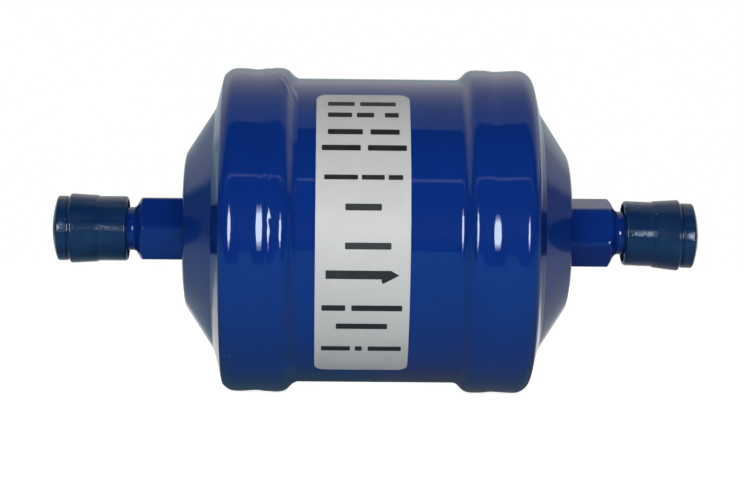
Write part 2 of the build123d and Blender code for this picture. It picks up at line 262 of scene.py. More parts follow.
def divided(line, longest):
    """The same line with its long runs divided."""
    line = [Vector(p) for p in line]
    out = [line[0]]
    for a, b in zip(line, line[1:]):
        parts = max(1, math.ceil((b - a).length / longest - 1e-6))
        out += [a.lerp(b, k / parts) for k in range(1, parts + 1)]
    return out


def inside_of(line, wall):
    """The line's other face, a wall thickness to its right."""
    out = []
    for k, point in enumerate(line):
        before, after = line[max(k - 1, 0)], line[min(k + 1, len(line) - 1)]
        if k in (0, len(line) - 1):
            along = (after - before).normalized()
        else:
            along = ((point - before).normalized() + (after - point).normalized()).normalized()
        out.append(point + Vector((along.y, -along.x)) * wall)
    return out


def wander(angle, seed, waves):
    """A smooth closed wandering round the axis, about -1 to 1."""
    random = np.random.default_rng(seed)
    total = np.zeros_like(angle)
    weight = 0.0
    for k in waves:
        size = random.uniform(0.4, 1.0)
        total = total + size * np.cos(k * angle + random.uniform(0, 2 * math.pi))
        weight += size * size
    return total / math.sqrt(2 * weight)


def smaller(a, b, softness):
    """The smaller of two sizes, with the change-over rounded."""
    share = np.clip(0.5 + 0.5 * (b - a) / softness, 0, 1)
    return b * (1 - share) + a * share - softness * share * (1 - share)


def new_piece(name, points, faces, sharp_angle=32.0):
    """A mesh shaded smooth, except where its faces meet at more than this angle."""
    mesh = bpy.data.meshes.new(name)
    mesh.from_pydata([tuple(p) for p in points], [], faces)
    mesh.validate()
    mesh.shade_smooth()
    mesh.set_sharp_from_angle(angle=math.radians(sharp_angle))
    piece = bpy.data.objects.new(name, mesh)
    bpy.context.scene.collection.objects.link(piece)
    return piece


def turned(name, side, section, segments, form=None, shift=None, sharp_angle=32.0):
    """A piece turned about the flow axis from a closed section of (reach, radius) points, listed so
    that its material is on the right. form changes the reach and radius of every point on the
    surface, and shift changes the points themselves."""
    section = np.array([tuple(Vector(p)) for p in section])
    rows = len(section)
    angle = np.linspace(0, 2 * math.pi, segments, endpoint=False)[None, :]
    reach = np.repeat(section[:, :1], segments, 1)
    radius = np.repeat(section[:, 1:], segments, 1)
    if form:
        reach, radius = form(reach, radius, angle + 0 * reach)
    xyz = np.stack([side * reach, -radius * np.sin(angle), radius * np.cos(angle)], -1)
    if shift:
        xyz = shift(xyz)
    on_axis = section[:, 1] < 1e-9
    index = np.zeros((rows, segments), int)
    points = []
    for i in range(rows):
        if on_axis[i]:
            index[i, :] = len(points)
            points.append(xyz[i, 0])
        else:
            index[i, :] = len(points) + np.arange(segments)
            points.extend(xyz[i])
    faces = []
    for i in range(rows):
        after = (i + 1) % rows
        if on_axis[i] and on_axis[after]:
            continue
        for j in range(segments):
            k = (j + 1) % segments
            quad = [index[i, j], index[i, k], index[after, k], index[after, j]][::side]
            # A quad that touches the axis is a triangle.
            faces.append(list(dict.fromkeys(int(v) for v in quad)))
    return new_piece(name, points, faces, sharp_angle)


def finish_piece(piece, body, slot, material, *nodes):
    """The piece rides on its body, takes its finish, and stands for its CAD nodes."""
    piece.data.materials.clear()
    piece.data.materials.append(material)
    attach(piece, body)
    if nodes:
        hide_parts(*nodes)


# ---------------------------------------------------------------- material tools


class Nodes:
    """Adds nodes to a tree. A value that is a socket is linked, and any other is set."""

    def __init__(self, tree):
        self.tree = tree

    def add(self, kind, values=None, **settings):
        node = self.tree.nodes.new(kind)
        for name, value in settings.items():
            setattr(node, name, value)
        for key, value in (values or {}).items():
            self.put(node.inputs[key], value)
        return node

    def put(self, socket, value):
        if isinstance(value, bpy.types.NodeSocket):
            self.tree.links.new(value, socket)
        else:
            socket.default_value = value

    def math(self, operation, *values):
        return self.add("ShaderNodeMath", dict(enumerate(values)), operation=operation).outputs[0]

    def product(self, first, *others):
        for other in others:
            first = self.math("MULTIPLY", first, other)
        return first

    def ratio(self, first, second):
        """first over second, with second kept above zero."""
        return self.math("DIVIDE", first, self.math("MAXIMUM", second, 0.001))

    def blend(self, factor, first, second):
        node = self.add("ShaderNodeMix", data_type="RGBA")
        self.put(node.inputs[0], factor)
        self.put(node.inputs[6], first)
        self.put(node.inputs[7], second)
        return node.outputs[2]

    def span(self, value, low, high, start=0.0, end=1.0):
        """From start to end, smoothly, as the value goes from low to high."""
        values = {"Value": value, "From Min": low, "From Max": high, "To Min": start, "To Max": end}
        return self.add("ShaderNodeMapRange", values, interpolation_type="SMOOTHSTEP").outputs[0]

    def window(self, value, rise, fall):
        """1 between a soft rise and a soft fall, and 0 outside them."""
        return self.product(self.span(value, *rise), self.span(value, *fall, 1.0, 0.0))

    def place(self):
        return self.add("ShaderNodeTexCoord").outputs["Object"]

    def split(self, vector):
        return self.add("ShaderNodeSeparateXYZ", {0: vector}).outputs

    def noise(self, vector, size, detail=2.0, roughness=0.5):
        """Noise whose features are about this long, in metres."""
        linked = isinstance(size, bpy.types.NodeSocket)
        scale = self.math("DIVIDE", 1.0, size) if linked else 1.0 / size
        values = {"Vector": vector, "Scale": scale, "Detail": detail, "Roughness": roughness}
        return self.add("ShaderNodeTexNoise", values).outputs["Fac"]

    def group(self, tree, values):
        return self.add("ShaderNodeGroup", values, node_tree=tree).outputs

    def bump(self, height, strength, distance, normal=None):
        values = {"Height": height, "Strength": strength, "Distance": distance}
        if normal is not None:
            values["Normal"] = normal
        return self.add("ShaderNodeBump", values).outputs[0]


def effect(name, inputs, outputs):
    """A shader node group with named inputs and outputs, or the one that is already there."""
    if name in bpy.data.node_groups:
        return bpy.data.node_groups[name], None, None, None
    tree = bpy.data.node_groups.new(name, "ShaderNodeTree")
    for label, kind, value in inputs:
        kind = "NodeSocket" + kind
        socket = tree.interface.new_socket(name=label, in_out="INPUT", socket_type=kind)
        socket.default_value = value
    for label, kind in outputs:
        tree.interface.new_socket(name=label, in_out="OUTPUT", socket_type="NodeSocket" + kind)
    start = tree.nodes.new("NodeGroupInput").outputs
    end = tree.nodes.new("NodeGroupOutput").inputs
    return tree, Nodes(tree), start, end


def mottle_group():
    """Two colours in soft patches, with finer ones inside them."""
    tree, nodes, start, end = effect(
        "mottle",
        [("Colour", "Color", (0.5, 0.5, 0.5, 1)), ("Patch Colour", "Color", (0.4, 0.4, 0.4, 1)),
         ("Patch Size", "Float", 0.004), ("Share", "Float", 0.5), ("Softness", "Float", 0.2)],
        [("Colour", "Color"), ("Mask", "Float")],
    )
    if nodes:
        pattern = nodes.noise(nodes.place(), start["Patch Size"], 4.0, 0.6)
        edge = nodes.math("SUBTRACT", 1.0, start["Share"])
        edge = nodes.math("ADD", nodes.product(edge, 0.5), 0.25)
        low = nodes.math("SUBTRACT", edge, start["Softness"])
        high = nodes.math("ADD", edge, start["Softness"])
        mask = nodes.span(pattern, low, high)
        nodes.put(end["Colour"], nodes.blend(mask, start["Colour"], start["Patch Colour"]))
        nodes.put(end["Mask"], mask)
    return tree


def orange_peel_group():
    """The slow, shallow waves of sprayed paint or moulded plastic, with a finer grain on them."""
    tree, nodes, start, end = effect(
        "orange_peel",
        [("Wave Size", "Float", 0.002), ("Grain Size", "Float", 0.0004), ("Grain", "Float", 0.2)],
        [("Height", "Float")],
    )
    if nodes:
        place = nodes.place()
        waves = nodes.noise(place, start["Wave Size"], 1.0, 0.4)
        grain = nodes.noise(place, start["Grain Size"], 1.0, 0.5)
        nodes.put(end["Height"], nodes.math("MULTIPLY_ADD", grain, start["Grain"], waves))
    return tree


def specks_group():
    """Small scattered specks, such as dust in paint, or the pale specks on the plastic that are
    painted glints.
    """
    tree, nodes, start, end = effect(
        "specks",
        [("Spacing", "Float", 0.003), ("Speck Size", "Float", 0.12), ("Share", "Float", 0.3)],
        [("Mask", "Float")],
    )
    if nodes:
        scale = nodes.math("DIVIDE", 1.0, start["Spacing"])
        values = {"Vector": nodes.place(), "Scale": scale, "Randomness": 1.0}
        cells = nodes.add("ShaderNodeTexVoronoi", values).outputs
        dots = nodes.math("LESS_THAN", cells["Distance"], start["Speck Size"])
        pick = nodes.add("ShaderNodeSeparateColor", {0: cells["Color"]}).outputs[0]
        kept = nodes.math("LESS_THAN", pick, start["Share"])
        nodes.put(end["Mask"], nodes.product(dots, kept))
    return tree


def fibres_group():
    """Tangled fibres or grains: a height, and a mask that is dark between them, where it paints
    shade into the gaps.
    """
    tree, nodes, start, end = effect(
        "fibres",
        [("Fibre Size", "Float", 0.0008), ("Stretch", "Float", 3.0), ("Contrast", "Float", 0.6)],
        [("Height", "Float"), ("Mask", "Float")],
    )
    if nodes:
        place = nodes.place()
        stretch = {0: start["Stretch"], 1: 1.0, 2: start["Stretch"]}
        stretch = nodes.add("ShaderNodeCombineXYZ", stretch).outputs[0]
        across = nodes.add("ShaderNodeVectorMath", {0: place, 1: stretch}, operation="MULTIPLY")
        first = nodes.noise(across.outputs[0], start["Fibre Size"], 3.0, 0.6)
        second = nodes.noise(place, start["Fibre Size"], 5.0, 0.7)
        height = nodes.product(nodes.math("ADD", first, second), 0.5)
        low = nodes.math("SUBTRACT", 0.5, nodes.product(start["Contrast"], 0.3))
        nodes.put(end["Height"], height)
        # The mask follows the height, so the low gaps between fibres are where painted shade goes.
        nodes.put(end["Mask"], nodes.span(height, low, 0.6))
    return tree


def fresh_material(name, constants):
    """A material with plain values on its shader, or the one that is already there."""
    if name in bpy.data.materials:
        return bpy.data.materials[name], None, None
    material = bpy.data.materials.new(name)
    material.use_nodes = True
    shader = material.node_tree.nodes["Principled BSDF"]
    for key, value in constants.items():
        shader.inputs[key].default_value = value
    return material, Nodes(material.node_tree), shader.inputs


def rgba(values, factor=1.0):
    """The colour, made darker or paler by the factor, with its alpha."""
    return (*[min(1.0, v * factor) for v in values], 1.0)


PAINT_DUST = (0.10, 0.16, 0.32, 1.0)
# Pale colour of the specks on the caps: painted glints.
PAINTED_GLINT_SPECKS = (0.07, 0.12, 0.19, 1.0)
# Near black colour of the screen's openings: painted shade.
SCREEN_GAP_PAINTED_SHADE = (0.03, 0.03, 0.03, 1.0)
WIRE_PITCH = 0.9 * MM


def mottled(nodes, colours, size, share, softness):
    """A colour with patches of a second one: their size, their share of the surface, and how soft
    their edges are. It gives the colour and the mask."""
    return nodes.group(mottle_group(), {
        "Colour": colours[0], "Patch Colour": colours[1],
        "Patch Size": size, "Share": share, "Softness": softness,
    })


def shades(values, factor):
    """A colour and its darker or paler twin."""
    return rgba(values), rgba(values, factor)


def specked(nodes, specks, colour, speck_colour):
    """The colour with specks on it, given as their spacing, their size and how many there are."""
    values = dict(zip(("Spacing", "Speck Size", "Share"), specks))
    return nodes.blend(nodes.group(specks_group(), values)["Mask"], colour, speck_colour)


def roughen(nodes, shader, mask, low, high):
    """Roughness from low to high as the mask goes from 0 to 1."""
    nodes.put(shader["Roughness"], nodes.span(mask, 0.0, 1.0, low, high))


def roll(nodes, shader, waves, strength, depth, normal=None):
    """Orange peel, given as the size of its waves, the size of its grain and the grain's share."""
    values = dict(zip(("Wave Size", "Grain Size", "Grain"), waves))
    height = nodes.group(orange_peel_group(), values)["Height"]
    nodes.put(shader["Normal"], nodes.bump(height, strength, depth, normal))


def painted(nodes, shader, finish, wave_strength=0.16, wave_size=3.2 * MM, normal=None):
    """Gloss paint: barely mottled colour, orange peel, a little dust. It gives the colour."""
    body = mottled(nodes, shades(finish.paint, 0.88), 9 * MM, 0.5, 0.3)
    roughness = finish.paint_roughness
    roughen(nodes, shader, body["Mask"], roughness * 0.9, roughness * 1.2)
    roll(nodes, shader, (wave_size, 0.7 * MM, 0.08), wave_strength, 0.12 * MM, normal)
    return specked(nodes, (5.5 * MM, 0.018, 0.35), body["Colour"], PAINT_DUST)


def paint_material(finish):
    """Gloss paint and nothing else."""
    material, nodes, shader = fresh_material("blue_gloss_paint", {"IOR": 1.5})
    if nodes:
        nodes.put(shader["Base Color"], painted(nodes, shader, finish))
    return material


def weld_material(finish, welds, casing):
    """The same paint over the ripples of the seam weld."""
    material, nodes, shader = fresh_material("painted_seam_weld", {"IOR": 1.5})
    if nodes:
        place = nodes.place()
        along, across, up = nodes.split(place)
        angle = nodes.math("ARCTAN2", across, up)
        count = round(math.pi * casing.band_diameter / welds.ripple_pitch)
        drift = nodes.product(nodes.noise(place, 6 * MM, 2.0), 5.0)
        # Ripples are crescents: they lag behind towards the bead's edges, and fade out there.
        reach = nodes.math("ABSOLUTE", along)
        off = nodes.math("SUBTRACT", reach, casing.rim_reach + 0.9 * MM)
        off = nodes.math("DIVIDE", off, 2.4 * MM)
        lag = nodes.product(off, off, 2.2)
        phase = nodes.math("MULTIPLY_ADD", angle, float(count), nodes.math("ADD", drift, lag))
        fade = nodes.span(nodes.math("ABSOLUTE", off), 0.6, 1.15, 1.0, 0.0)
        height = nodes.product(nodes.math("SINE", phase), fade)
        ripples = nodes.bump(height, 0.55, welds.ripple_height)
        nodes.put(shader["Base Color"], painted(nodes, shader, finish, 0.3, 2.2 * MM, ripples))
    return material


def fitting_material(finish, sizes):
    """Paint on the hexagon and neck, overspray on the first turns, then bare plated metal."""
    material, nodes, shader = fresh_material("painted_flare_fitting", {"IOR": 1.5})
    if nodes:
        place = nodes.place()
        reach = nodes.math("ABSOLUTE", nodes.split(place)[0])
        edge = nodes.math("MULTIPLY_ADD", nodes.noise(place, 1.5 * MM, 3.0), 1.6 * MM, reach)
        bare = nodes.span(edge, sizes.paint_reach, sizes.paint_reach + 1.0 * MM)
        inside_casing = nodes.span(reach, 34.0 * MM, 36.0 * MM, 1.0, 0.0)
        bare = nodes.math("MAXIMUM", bare, inside_casing)
        metal = mottled(nodes, shades(finish.plating, 0.8), 2 * MM, 0.5, 0.2)
        paint = painted(nodes, shader, finish, 0.12, 2.2 * MM)
        nodes.put(shader["Base Color"], nodes.blend(bare, paint, metal["Colour"]))
        nodes.put(shader["Metallic"], bare)
        roughen(nodes, shader, bare, finish.paint_roughness, 0.34)
    return material


def plastic_material(finish):
    """Soft vinyl: navy with worn, paler patches, fine grain, and pale specks that are painted
    glints.
    """
    material, nodes, shader = fresh_material("soft_navy_plastic", {"IOR": 1.46})
    if nodes:
        colours = rgba(finish.cap_plastic), rgba(finish.cap_scuff)
        body = mottled(nodes, colours, 3.2 * MM, 0.4, 0.35)
        # Pale specks all over the caps: painted glints, sparkles of light put into the colour.
        shade = specked(nodes, (1.5 * MM, 0.11, 0.16), body["Colour"], PAINTED_GLINT_SPECKS)
        nodes.put(shader["Base Color"], shade)
        roughen(nodes, shader, body["Mask"], 0.10, 0.18)
        roll(nodes, shader, (1.1 * MM, 0.3 * MM, 0.6), 0.4, 0.1 * MM)
    return material


def film_material(finish):
    """Pale satin film with a slight cloudiness."""
    material, nodes, shader = fresh_material("satin_label_film", {"IOR": 1.45})
    if nodes:
        body = mottled(nodes, shades(finish.label_film, 0.95), 6 * MM, 0.5, 0.3)
        nodes.put(shader["Base Color"], body["Colour"])
        roughen(nodes, shader, body["Mask"], 0.42, 0.5)
        roll(nodes, shader, (4 * MM, 0.12 * MM, 0.3), 0.12, 0.05 * MM)
    return material


def ink_material(finish):
    """Matt print, a little thin in places."""
    material, nodes, shader = fresh_material("label_print_ink", {"IOR": 1.45})
    if nodes:
        body = mottled(nodes, shades(finish.label_ink, 1.6), 1.2 * MM, 0.4, 0.2)
        nodes.put(shader["Base Color"], body["Colour"])
        roughen(nodes, shader, body["Mask"], 0.45, 0.6)
    return material


def metal_material(name, tint, low, high, wave=0.25):
    """Bare or plated sheet metal: cloudy tint and roughness, faint rolling waves."""
    material, nodes, shader = fresh_material(name, {"Metallic": 1.0})
    if nodes:
        body = mottled(nodes, shades(tint, 0.78), 3 * MM, 0.45, 0.25)
        nodes.put(shader["Base Color"], body["Colour"])
        roughen(nodes, shader, body["Mask"], low, high)
        roll(nodes, shader, (1.4 * MM, 0.15 * MM, 0.4), wave, 0.06 * MM)
    return material


def fibre_material(name, tint, size, stretch, contrast, strength, rough=0.9):
    """Felt, mat or moulded grains, darker in the low gaps between them as painted shade."""
    material, nodes, shader = fresh_material(name, {"IOR": 1.4, "Roughness": rough})
    if nodes:
        values = {"Fibre Size": size, "Stretch": stretch, "Contrast": contrast}
        fibres = nodes.group(fibres_group(), values)
        # The low gaps between fibres or grains get the darker colour: painted shade.
        shade = nodes.blend(fibres["Mask"], rgba(tint, 0.62), rgba(tint))
        nodes.put(shader["Base Color"], shade)
        roughen(nodes, shader, fibres["Mask"], min(1.0, rough + 0.08), rough - 0.08)
        nodes.put(shader["Normal"], nodes.bump(fibres["Height"], strength, 0.3 * MM))
    return material


def wire_material(finish):
    """Plain-woven wire: crossing wires over gaps painted nearly black, as the shade seen through
    the openings.
    """
    material, nodes, shader = fresh_material("woven_wire_screen", {"Metallic": 1.0})
    if nodes:
        _, across, up = nodes.split(nodes.place())
        turns = [nodes.product(at, 2 * math.pi / WIRE_PITCH) for at in (across, up)]
        warp, weft = (nodes.math("ABSOLUTE", nodes.math("SINE", turn)) for turn in turns)
        height = nodes.span(nodes.math("MAXIMUM", warp, weft), 0.35, 1.0)
        wire = mottled(nodes, shades(finish.wire, 0.75), 2 * MM, 0.5, 0.25)
        # The openings between the wires are painted nearly black: painted shade in place of a view
        # through them.
        nodes.put(shader["Base Color"], nodes.blend(height, SCREEN_GAP_PAINTED_SHADE, wire["Colour"]))
        roughen(nodes, shader, height, 0.8, 0.38)
        nodes.put(shader["Normal"], nodes.bump(height, 0.8, 0.15 * MM))
    return material


# ---------------------------------------------------------------- casing and welds


# Radius of the hole in each crown, a little more than the spigot's.
SPIGOT_HOLE = 4.8 * MM

# Hollow of each band: reach in millimetres, and depth there as a share of the band dip. The
# inlet's band also droops towards its shoulder.
BAND_WAVES = {
    "inlet": ([20.5, 21.3, 21.7, 22.0, 22.4, 23.0, 23.7, 24.7,
               25.8, 26.5, 27.0, 27.3, 27.6, 27.9, 28.4, 29.6],
              [0.0, 0.03, 0.26, 0.50, 0.80, 1.0, 0.90, 0.42,
               0.06, 0.0, 0.09, 0.22, 0.42, 0.67, 1.1, 1.9]),
    "outlet": ([20.3, 20.9, 21.2, 21.5, 21.8, 22.1, 22.7, 23.5, 25.0, 26.2, 26.9],
               [0.0, 0.12, 0.29, 0.50, 0.71, 0.87, 1.0, 0.86, 0.36, 0.05, 0.0]),
}

# Outside of each weld bead: reach in millimetres, and height above the tube there.
BEAD_LINES = {
    "inlet": ([14.9, 15.2, 15.6, 16.15, 16.7, 17.2, 17.5, 17.8,
               18.1, 18.4, 18.8, 19.3, 19.8, 20.2, 20.5, 20.9],
              [-0.12, 0.0, 0.18, 0.54, 1.10, 1.56, 1.72, 1.83,
               1.905, 1.96, 1.995, 2.005, 1.985, 1.955, 1.905, 1.82]),
    "outlet": ([14.8, 15.28, 15.7, 16.1, 16.6, 17.1, 17.55, 17.94, 18.4, 18.9, 19.4, 19.9],
               [-0.03, 0.045, 0.18, 0.48, 1.0, 1.45, 1.70, 1.815, 1.885, 1.915, 1.915, 1.885]),
}
BEAD_ROWS = 26
BEAD_SEGMENTS = 448

# Drops of spatter at the inlet bead's edge: reach, degrees from straight up, share of the height.
SPATTER = ((15.8 * MM, 88.2, 0.6), (15.6 * MM, 91.2, 1.0), (15.3 * MM, 90.4, 0.5))
SPATTER_HEIGHT = 0.06 * MM
SPATTER_RADIUS = 0.32 * MM

# Two ridges where the inlet bead laps its start: how far apart they lie, and share of the height.
LAP_RIDGES = ((0.0, 1.0), (1.3 * MM, 0.8))
LAP_REACH = 16.6 * MM  # of the first ridge, at the lap's own angle
LAP_SLANT = 9.5 * MM  # loss of reach for each radian forward
LAP_WIDTH = 0.36 * MM
LAP_SPREAD = 0.13  # half the lap's length round the seam, in radians


def eased(at, reaches, values):
    """A smooth curve through the values, level at its ends."""
    reaches, values = np.array(reaches), np.array(values, float)
    slopes = np.gradient(values, reaches)
    slopes[0] = slopes[-1] = 0
    k = np.clip(np.searchsorted(reaches, at, "right") - 1, 0, len(reaches) - 2)
    step = reaches[k + 1] - reaches[k]
    t = np.clip((at - reaches[k]) / step, 0, 1)
    return (
        values[k] * (2 * t**3 - 3 * t**2 + 1) + slopes[k] * step * (t**3 - 2 * t**2 + t)
        + values[k + 1] * (3 * t**2 - 2 * t**3) + slopes[k + 1] * step * (t**3 - t**2)
    )


def cap_line(casing, shoulder_bend):
    """Outside line of an end cap, from the weld to the fitting."""
    band = casing.band_diameter / 2
    step = casing.step_diameter / 2
    step_reach = casing.shoulder_reach + (band - step) * math.tan(casing.shoulder_lean)
    crown_edge = step - (casing.crown_reach - step_reach) * math.tan(casing.cone_slope)
    return bent_line(
        [(casing.rim_reach, band), (casing.shoulder_reach, band), (step_reach, step),
         (casing.crown_reach, crown_edge), (casing.crown_reach, SPIGOT_HOLE)],
        [shoulder_bend, casing.step_bend, casing.crown_bend],
        14,
    )


class DRIER_OT_shell_tube(Operator):
    """Make the painted tube between the two end caps"""

    bl_idname = "drier.shell_tube"
    bl_label = "Shell Tube"

    def execute(self, context):
        casing = context.scene.drier_casing
        outer, bore, half = casing.tube_diameter / 2, casing.tube_bore / 2, casing.tube_half_length
        chamfer = 0.25 * MM
        section = divided(
            [(-half, bore), (-half, outer - chamfer), (-half + chamfer, outer),
             (half - chamfer, outer), (half, outer - chamfer), (half, bore)],
            2.5 * MM,
        )
        section += divided([(half, bore), (-half, bore)], 6 * MM)[1:-1]
        piece = turned("painted_shell_tube", 1, section, context.scene.drier_studio.segments)
        material = paint_material(context.scene.drier_finishes)
        finish_piece(piece, ROOT, "blue_paint", material, "shell_tube")
        return {"FINISHED"}


class DRIER_OT_end_caps(Operator):
    """Make the two drawn, stepped and painted end caps"""

    bl_idname = "drier.end_caps"
    bl_label = "End Caps"

    def execute(self, context):
        casing, welds = context.scene.drier_casing, context.scene.drier_welds
        band = casing.band_diameter / 2
        skin_inside, skin_outside = band - 1.6 * MM, band - 0.2 * MM
        seeds = {"inlet": 11, "outlet": 12}

        for end, side in ENDS.items():
            melted = casing.rim_reach + getattr(welds, f"{end}_melt")
            line = cap_line(casing, getattr(casing, f"{end}_bend"))
            inner = inside_of(line, casing.cap_wall)
            # The skirt's outside edge has melted into the weld.
            outer = [(casing.rim_reach, band - welds.melt_depth), (melted, band)]
            outer += [p for p in divided(line, 0.2 * MM) if p.x > melted or p.y < band - 1 * MM]
            section = outer + list(reversed(inner))

            def form(reach, radius, angle):
                """The drawing leaves the band slightly hollow and not quite round."""
                hollow = eased(reach / MM, *BAND_WAVES[end])
                skin = np.clip((radius - skin_inside) / (skin_outside - skin_inside), 0, 1)
                hollow = hollow * skin**2 * (3 - 2 * skin) * (reach > melted - 0.01 * MM)
                uneven = 1 + 0.12 * wander(angle, seeds[end], (2, 3, 5, 7, 11))
                return reach, radius - casing.band_dip * hollow * uneven

            segments = context.scene.drier_studio.segments
            piece = turned(f"{end}_stepped_end_cap", side, section, segments, form)
            material = paint_material(context.scene.drier_finishes)
            finish_piece(piece, ROOT, "blue_paint", material, f"{end}_end_cap")
        return {"FINISHED"}


class DRIER_OT_seam_welds(Operator):
    """Make the two uneven seam weld beads"""

    bl_idname = "drier.seam_welds"
    bl_label = "Seam Welds"

    def execute(self, context):
        casing, welds = context.scene.drier_casing, context.scene.drier_welds
        band, tube = casing.band_diameter / 2, casing.tube_diameter / 2
        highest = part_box("inlet_seam_weld")[1].z - 0.004 * MM
        hidden_reach = casing.rim_reach + 0.1 * MM
        crest_start, crest_rise = 0.62, 0.25

        def inlet_marks(reach, angle, share):
            """The inlet bead's reach, with its edge on the tube wandering, and the height of its
            crest lumps, its spatter and its lap."""
            on_bead = share > 0
            crest = np.clip((share - crest_start) / crest_rise, 0, 1) * (1 - share)
            crest = crest * wander(angle + 0.35 * share, 40, (41, 57, 71, 97))
            marks = 4 * welds.lump_height * crest
            toe = (1 - share) ** 2 * on_bead * wander(angle + 0.2 * share, 52, (11, 19, 31, 43))
            reach = reach - welds.toe_wander * toe
            for at_reach, at_angle, size in SPATTER:
                off = np.hypot(reach - at_reach, (angle - math.radians(at_angle)) * tube)
                marks += size * SPATTER_HEIGHT * np.exp(-((off / SPATTER_RADIUS) ** 2)) * on_bead
            turned_by = angle - welds.lap_angle
            for apart, size in LAP_RIDGES:
                off = reach - apart - (LAP_REACH - LAP_SLANT * turned_by)
                ridge = np.exp(-((off / LAP_WIDTH) ** 2) - (turned_by / LAP_SPREAD) ** 4)
                marks += welds.lap_height * size * ridge * on_bead * (share < 0.9)
            return reach, marks

        for end, side in ENDS.items():
            reaches, heights = BEAD_LINES[end]
            at = np.linspace(reaches[0], reaches[-1], BEAD_ROWS + 1)
            height_at = eased(at, reaches, heights)
            section = [(x * MM, tube + height * MM) for x, height in zip(at, height_at)]
            section += [(hidden_reach, band - welds.melt_depth), (hidden_reach, tube - 0.03 * MM)]

            def form(reach, radius, angle):
                """Uneven all round, and more so at the inlet, where the bead laps its own start."""
                # Share of the way over the bead from the tube. The hidden rows stay at 0.
                share = np.zeros_like(reach)
                share[: BEAD_ROWS + 1] = np.linspace(0, 1, BEAD_ROWS + 1)[:, None]
                lump = 0.4 * welds.lump_height * np.sin(math.pi * share) ** 2
                lump = lump * wander(angle, 31 + side, (2, 3, 5, 8))
                if end == "inlet":
                    reach, marks = inlet_marks(reach, angle, share)
                    lump = lump + marks
                return reach, np.where(share > 0, np.minimum(radius + lump, highest), radius)

            piece = turned(f"{end}_weld_bead", side, section, BEAD_SEGMENTS, form, sharp_angle=70)
            material = weld_material(context.scene.drier_finishes, welds, casing)
            finish_piece(piece, ROOT, "painted_weld", material, f"{end}_seam_weld")
        return {"FINISHED"}


# ---------------------------------------------------------------- fittings and seal caps


# The thread's root and flanks, as shares of half a turn. The rest is its crest.
ROOT_FLAT = 0.1
THREAD_FLANK = 0.76


class DRIER_OT_flare_fittings(Operator):
    """Make the two hexagon flare fittings with their threads"""

    bl_idname = "drier.flare_fittings"
    bl_label = "Flare Fittings"

    def execute(self, context):
        sizes, casing = context.scene.drier_fittings, context.scene.drier_casing
        neck, thread = sizes.neck_diameter / 2, sizes.thread_diameter / 2
        spigot, bore = sizes.spigot_diameter / 2, sizes.bore_diameter / 2
        tip = sizes.nose_diameter / 2
        flat = sizes.across_flats / 2
        corner = flat / math.cos(math.radians(30))
        rounded_corner = corner - 0.12 * MM
        base, lead_in, edge = sizes.base_chamfer, 0.8 * MM, 0.15 * MM

        # Places along the flow, from the casing outwards.
        inner_end = round(fitting_low.x, 5)
        crown = casing.crown_reach
        hexagon_end = crown + sizes.hexagon_length
        thread_start = hexagon_end + sizes.neck_length
        nose = hexagon_end + sizes.flare_length
        flare_start = nose - (thread - tip)
        flare_end = nose - 0.9 * MM
        cone = (corner - neck) * math.tan(sizes.end_chamfer)

        def on_cone(share):
            """A place on the hexagon's outer cone, from the neck at 0 to the corners at 1."""
            return hexagon_end - share * cone, share * corner + (1 - share) * neck

        section = divided([(inner_end, bore), (inner_end, spigot), (crown, spigot)], 2 * MM)
        section += divided(
            [(crown, corner - base), (crown + base, corner), on_cone(1.0), on_cone(0.4)], 0.3 * MM
        )
        section += bent_line(
            [on_cone(0.38), (hexagon_end, neck), (thread_start, neck),
             (thread_start, neck + 0.3 * MM)],
            [0.9 * MM, 0.2 * MM],
            6,
        )
        section += divided(
            [(thread_start, thread - lead_in), (thread_start + lead_in, thread),
             (flare_start, thread), (flare_end, thread - (flare_end - flare_start))],
            0.11 * MM,
        )
        section += [(nose - edge, tip + edge), (nose, tip - 0.1 * MM)]
        section += [(nose, bore + edge), (nose - edge, bore)]
        section += divided([(nose - edge, bore), (inner_end, bore)], 4 * MM)[1:-1]

        for end, side in ENDS.items():
            brazed_turn = getattr(sizes, f"{end}_turn")

            def form(reach, radius, angle):
                """The hexagon's flats, cut into its cones, and the thread's helix."""
                fold = np.mod(side * angle - brazed_turn, math.pi / 3) - math.pi / 6
                flats = smaller(flat / np.cos(fold), rounded_corner, sizes.edge_rounding)
                on_hexagon = (reach >= crown - 1e-9) & (reach <= hexagon_end + 1e-9)
                on_hexagon &= radius > neck + 1e-6
                radius = np.where(on_hexagon, smaller(radius, flats, edge), radius)
                turns = side * reach / sizes.thread_pitch - angle / (2 * math.pi)
                vee = np.abs(2 * np.mod(turns, 1) - 1)
                rise = np.clip((vee - ROOT_FLAT) / THREAD_FLANK, 0, 1)
                groove = thread - sizes.thread_depth * (1 - rise)
                on_thread = (reach > thread_start - 1e-9) & (radius > thread - sizes.thread_depth)
                return reach, np.where(on_thread, np.minimum(radius, groove), radius)

            piece = turned(f"{end}_threaded_fitting", side, section, 240, form, sharp_angle=50)
            material = fitting_material(context.scene.drier_finishes, sizes)
            finish_piece(piece, ROOT, "blue_paint", material, f"{end}_flare_fitting")
        return {"FINISHED"}


